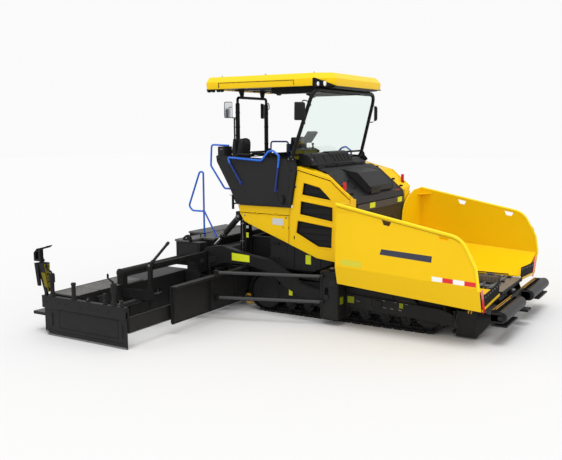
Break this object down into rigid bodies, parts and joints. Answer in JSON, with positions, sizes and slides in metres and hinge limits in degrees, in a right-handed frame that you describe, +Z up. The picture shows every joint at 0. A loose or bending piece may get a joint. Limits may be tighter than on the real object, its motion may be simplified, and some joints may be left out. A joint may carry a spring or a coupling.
{
  "type": "tracked asphalt paver",
  "caption": "Tracked asphalt paver with folding hopper wings, push rollers, canopied operator platform, augers and a floating screed with sliding extensions.",
  "frame": {"origin": "centre of the machine's overall box, on the ground", "axes": "+X forward to the hopper, +Y to the machine's left, +Z up"},
  "size_m": [6.315, 8.1438, 3.848],
  "materials": {
    "yellow_paint": "semi-gloss enamel",
    "dark_paint": "satin dark grey paint",
    "grey_walkway": "matt light grey paint",
    "worn_steel": "worn bare steel",
    "blue_paint": "gloss blue enamel",
    "clear_glass": "clear tinted laminate",
    "black_rubber": "matt",
    "chrome_rod": "hard chrome",
    "red_lens": "moulded lens",
    "seat_vinyl": "grained vinyl",
    "cab_plastic": "textured moulding",
    "track_steel": "painted cast shoes",
    "engine_iron": "painted casting",
    "roof_shell": "moulded shell"
  },
  "bodies": {
    "chassis": {"auger_guards": "dark_paint", "auger_supports": "dark_paint", "canopy_frame": "dark_paint", "canopy_roof": "roof_shell", "control_console": "cab_plastic", "conveyor_floor": "worn_steel", "dash_panel": "cab_plastic", "engine_block": "engine_iron", "exhaust_outlet": "dark_paint", "guard_rails": "blue_paint", "hopper_back": "dark_paint", "main_frame": "dark_paint", "marker_lamps": "red_lens", "mirrors": "cab_plastic", "operator_platform": "dark_paint", "platform_panels": "dark_paint", "seats": "seat_vinyl", "side_shoulders": "yellow_paint", "side_tanks": "dark_paint", "tow_columns": "dark_paint", "track_frames": "dark_paint", "track_left": "track_steel", "track_right": "track_steel", "windshield_frame": "dark_paint", "windshield_glass": "clear_glass"},
    "hood": {"engine_hood": "dark_paint"},
    "tow_points": {"tow_pins": "dark_paint"},
    "screed": {"tow_arms": "dark_paint", "screed_frame": "dark_paint", "screed_walkway": "grey_walkway", "stair_rail": "blue_paint"},
    "push_beam": {"push_beam": "dark_paint"},
    "door_right": {"grille_door_right": "yellow_paint", "door_grilles_right": "dark_paint"},
    "flap_right": {"side_flap_right": "yellow_paint"},
    "wing_right": {"hopper_wing_right": "yellow_paint", "wing_flap_right": "black_rubber"},
    "wing_barrel_right": {"wing_barrel_right": "dark_paint"},
    "wing_rod_right": {"wing_rod_right": "chrome_rod"},
    "roller_right": {"push_roller_right": "worn_steel"},
    "auger_right": {"auger_right": "worn_steel"},
    "extension_right": {"extension_frame_right": "dark_paint", "extension_walkway_right": "grey_walkway"},
    "end_plate_right": {"end_plate_right": "dark_paint"},
    "lift_barrel_right": {"lift_barrel_right": "dark_paint"},
    "lift_rod_right": {"lift_rod_right": "chrome_rod"},
    "door_left": {"grille_door_left": "yellow_paint", "door_grilles_left": "dark_paint"},
    "flap_left": {"side_flap_left": "yellow_paint"},
    "wing_left": {"hopper_wing_left": "yellow_paint", "wing_flap_left": "black_rubber"},
    "wing_barrel_left": {"wing_barrel_left": "dark_paint"},
    "wing_rod_left": {"wing_rod_left": "chrome_rod"},
    "roller_left": {"push_roller_left": "worn_steel"},
    "auger_left": {"auger_left": "worn_steel"},
    "extension_left": {"extension_frame_left": "dark_paint", "extension_walkway_left": "grey_walkway"},
    "end_plate_left": {"end_plate_left": "dark_paint"},
    "lift_barrel_left": {"lift_barrel_left": "dark_paint"},
    "lift_rod_left": {"lift_rod_left": "chrome_rod"}
  },
  "joints": [
    {"name": "hood_hinge", "type": "hinge", "parent": "chassis", "child": "hood", "pos_m": [0.0475, 0, 2.342], "axis": [0, -1, 0], "range_deg": [0, 50]},
    {"name": "tow_point_lift", "type": "slide", "parent": "chassis", "child": "tow_points", "axis": [0, 0, 1], "range_m": [0, 0.12]},
    {"name": "screed_lift", "type": "hinge", "parent": "tow_points", "child": "screed", "pos_m": [0.4825, 0, 0.44], "axis": [0, 1, 0], "range_deg": [0, 8]},
    {"name": "push_beam_swing", "type": "hinge", "parent": "chassis", "child": "push_beam", "pos_m": [2.8825, 0, 0.4], "axis": [0, 0, 1], "range_deg": [-4, 4]},
    {"name": "grille_door_right", "type": "hinge", "parent": "chassis", "child": "door_right", "pos_m": [0.71, -1.245, 1.6], "axis": [0, 0, 1], "range_deg": [0, 85]},
    {"name": "side_flap_right", "type": "hinge", "parent": "chassis", "child": "flap_right", "pos_m": [-0.7175, -1.2405, 1.6125], "axis": [-1, 0, 0], "range_deg": [0, 80]},
    {"name": "wing_fold_right", "type": "hinge", "parent": "chassis", "child": "wing_right", "pos_m": [1.7825, -0.62, 0.62], "axis": [-1, 0, 0], "range_deg": [0, 50]},
    {"name": "wing_barrel_right", "type": "hinge", "parent": "chassis", "child": "wing_barrel_right", "pos_m": [2.4825, -0.96, 0.3], "axis": [-1, 0, 0], "range_deg": [0, 45.78]},
    {"name": "wing_rod_right", "type": "slide", "parent": "wing_barrel_right", "child": "wing_rod_right", "axis": [0, -0.8321, 0.5547], "range_m": [0, 0.3923]},
    {"name": "roller_spin_right", "type": "hinge", "parent": "push_beam", "child": "roller_right", "pos_m": [3.0725, -0.806, 0.407], "axis": [0, 1, 0], "continuous": true},
    {"name": "auger_spin_right", "type": "hinge", "parent": "chassis", "child": "auger_right", "pos_m": [-1.4975, -1.2, 0.4], "axis": [0, 1, 0], "continuous": true},
    {"name": "extension_slide_right", "type": "slide", "parent": "screed", "child": "extension_right", "axis": [0, 1, 0], "range_m": [0, 1.2]},
    {"name": "end_plate_lift_right", "type": "slide", "parent": "extension_right", "child": "end_plate_right", "axis": [0, 0, 1], "range_m": [0, 0.06]},
    {"name": "lift_barrel_right", "type": "hinge", "parent": "chassis", "child": "lift_barrel_right", "pos_m": [-1.3375, -1.15, 1.54], "axis": [0, 1, 0], "range_deg": [0, 15.67]},
    {"name": "lift_rod_right", "type": "slide", "parent": "lift_barrel_right", "child": "lift_rod_right", "axis": [0.7071, 0, 0.7071], "range_m": [0, 0.2795]},
    {"name": "grille_door_left", "type": "hinge", "parent": "chassis", "child": "door_left", "pos_m": [0.71, 1.245, 1.6], "axis": [0, 0, -1], "range_deg": [0, 85]},
    {"name": "side_flap_left", "type": "hinge", "parent": "chassis", "child": "flap_left", "pos_m": [-0.7175, 1.2405, 1.6125], "axis": [1, 0, 0], "range_deg": [0, 80]},
    {"name": "wing_fold_left", "type": "hinge", "parent": "chassis", "child": "wing_left", "pos_m": [1.7825, 0.62, 0.62], "axis": [1, 0, 0], "range_deg": [0, 50]},
    {"name": "wing_barrel_left", "type": "hinge", "parent": "chassis", "child": "wing_barrel_left", "pos_m": [2.4825, 0.96, 0.3], "axis": [1, 0, 0], "range_deg": [0, 45.78]},
    {"name": "wing_rod_left", "type": "slide", "parent": "wing_barrel_left", "child": "wing_rod_left", "axis": [0, 0.8321, 0.5547], "range_m": [0, 0.3923]},
    {"name": "roller_spin_left", "type": "hinge", "parent": "push_beam", "child": "roller_left", "pos_m": [3.0725, 0.806, 0.407], "axis": [0, 1, 0], "continuous": true},
    {"name": "auger_spin_left", "type": "hinge", "parent": "chassis", "child": "auger_left", "pos_m": [-1.4975, 1.2, 0.4], "axis": [0, 1, 0], "continuous": true},
    {"name": "extension_slide_left", "type": "slide", "parent": "screed", "child": "extension_left", "axis": [0, -1, 0], "range_m": [0, 1.2]},
    {"name": "end_plate_lift_left", "type": "slide", "parent": "extension_left", "child": "end_plate_left", "axis": [0, 0, 1], "range_m": [0, 0.06]},
    {"name": "lift_barrel_left", "type": "hinge", "parent": "chassis", "child": "lift_barrel_left", "pos_m": [-1.3375, 1.15, 1.54], "axis": [0, 1, 0], "range_deg": [0, 15.67]},
    {"name": "lift_rod_left", "type": "slide", "parent": "lift_barrel_left", "child": "lift_rod_left", "axis": [0.7071, 0, 0.7071], "range_m": [0, 0.2795]}
  ],
  "couplings": [
    {"joint": "wing_barrel_right", "follows": "wing_fold_right", "ratio": 0.90969},
    {"joint": "wing_rod_right", "follows": "wing_fold_right", "m_per_rad": 0.44612},
    {"joint": "lift_barrel_right", "follows": "screed_lift", "ratio": 1.9341},
    {"joint": "lift_rod_right", "follows": "screed_lift", "m_per_rad": 1.98},
    {"joint": "wing_barrel_left", "follows": "wing_fold_left", "ratio": 0.90969},
    {"joint": "wing_rod_left", "follows": "wing_fold_left", "m_per_rad": 0.44612},
    {"joint": "lift_barrel_left", "follows": "screed_lift", "ratio": 1.9341},
    {"joint": "lift_rod_left", "follows": "screed_lift", "m_per_rad": 1.98}
  ]
}
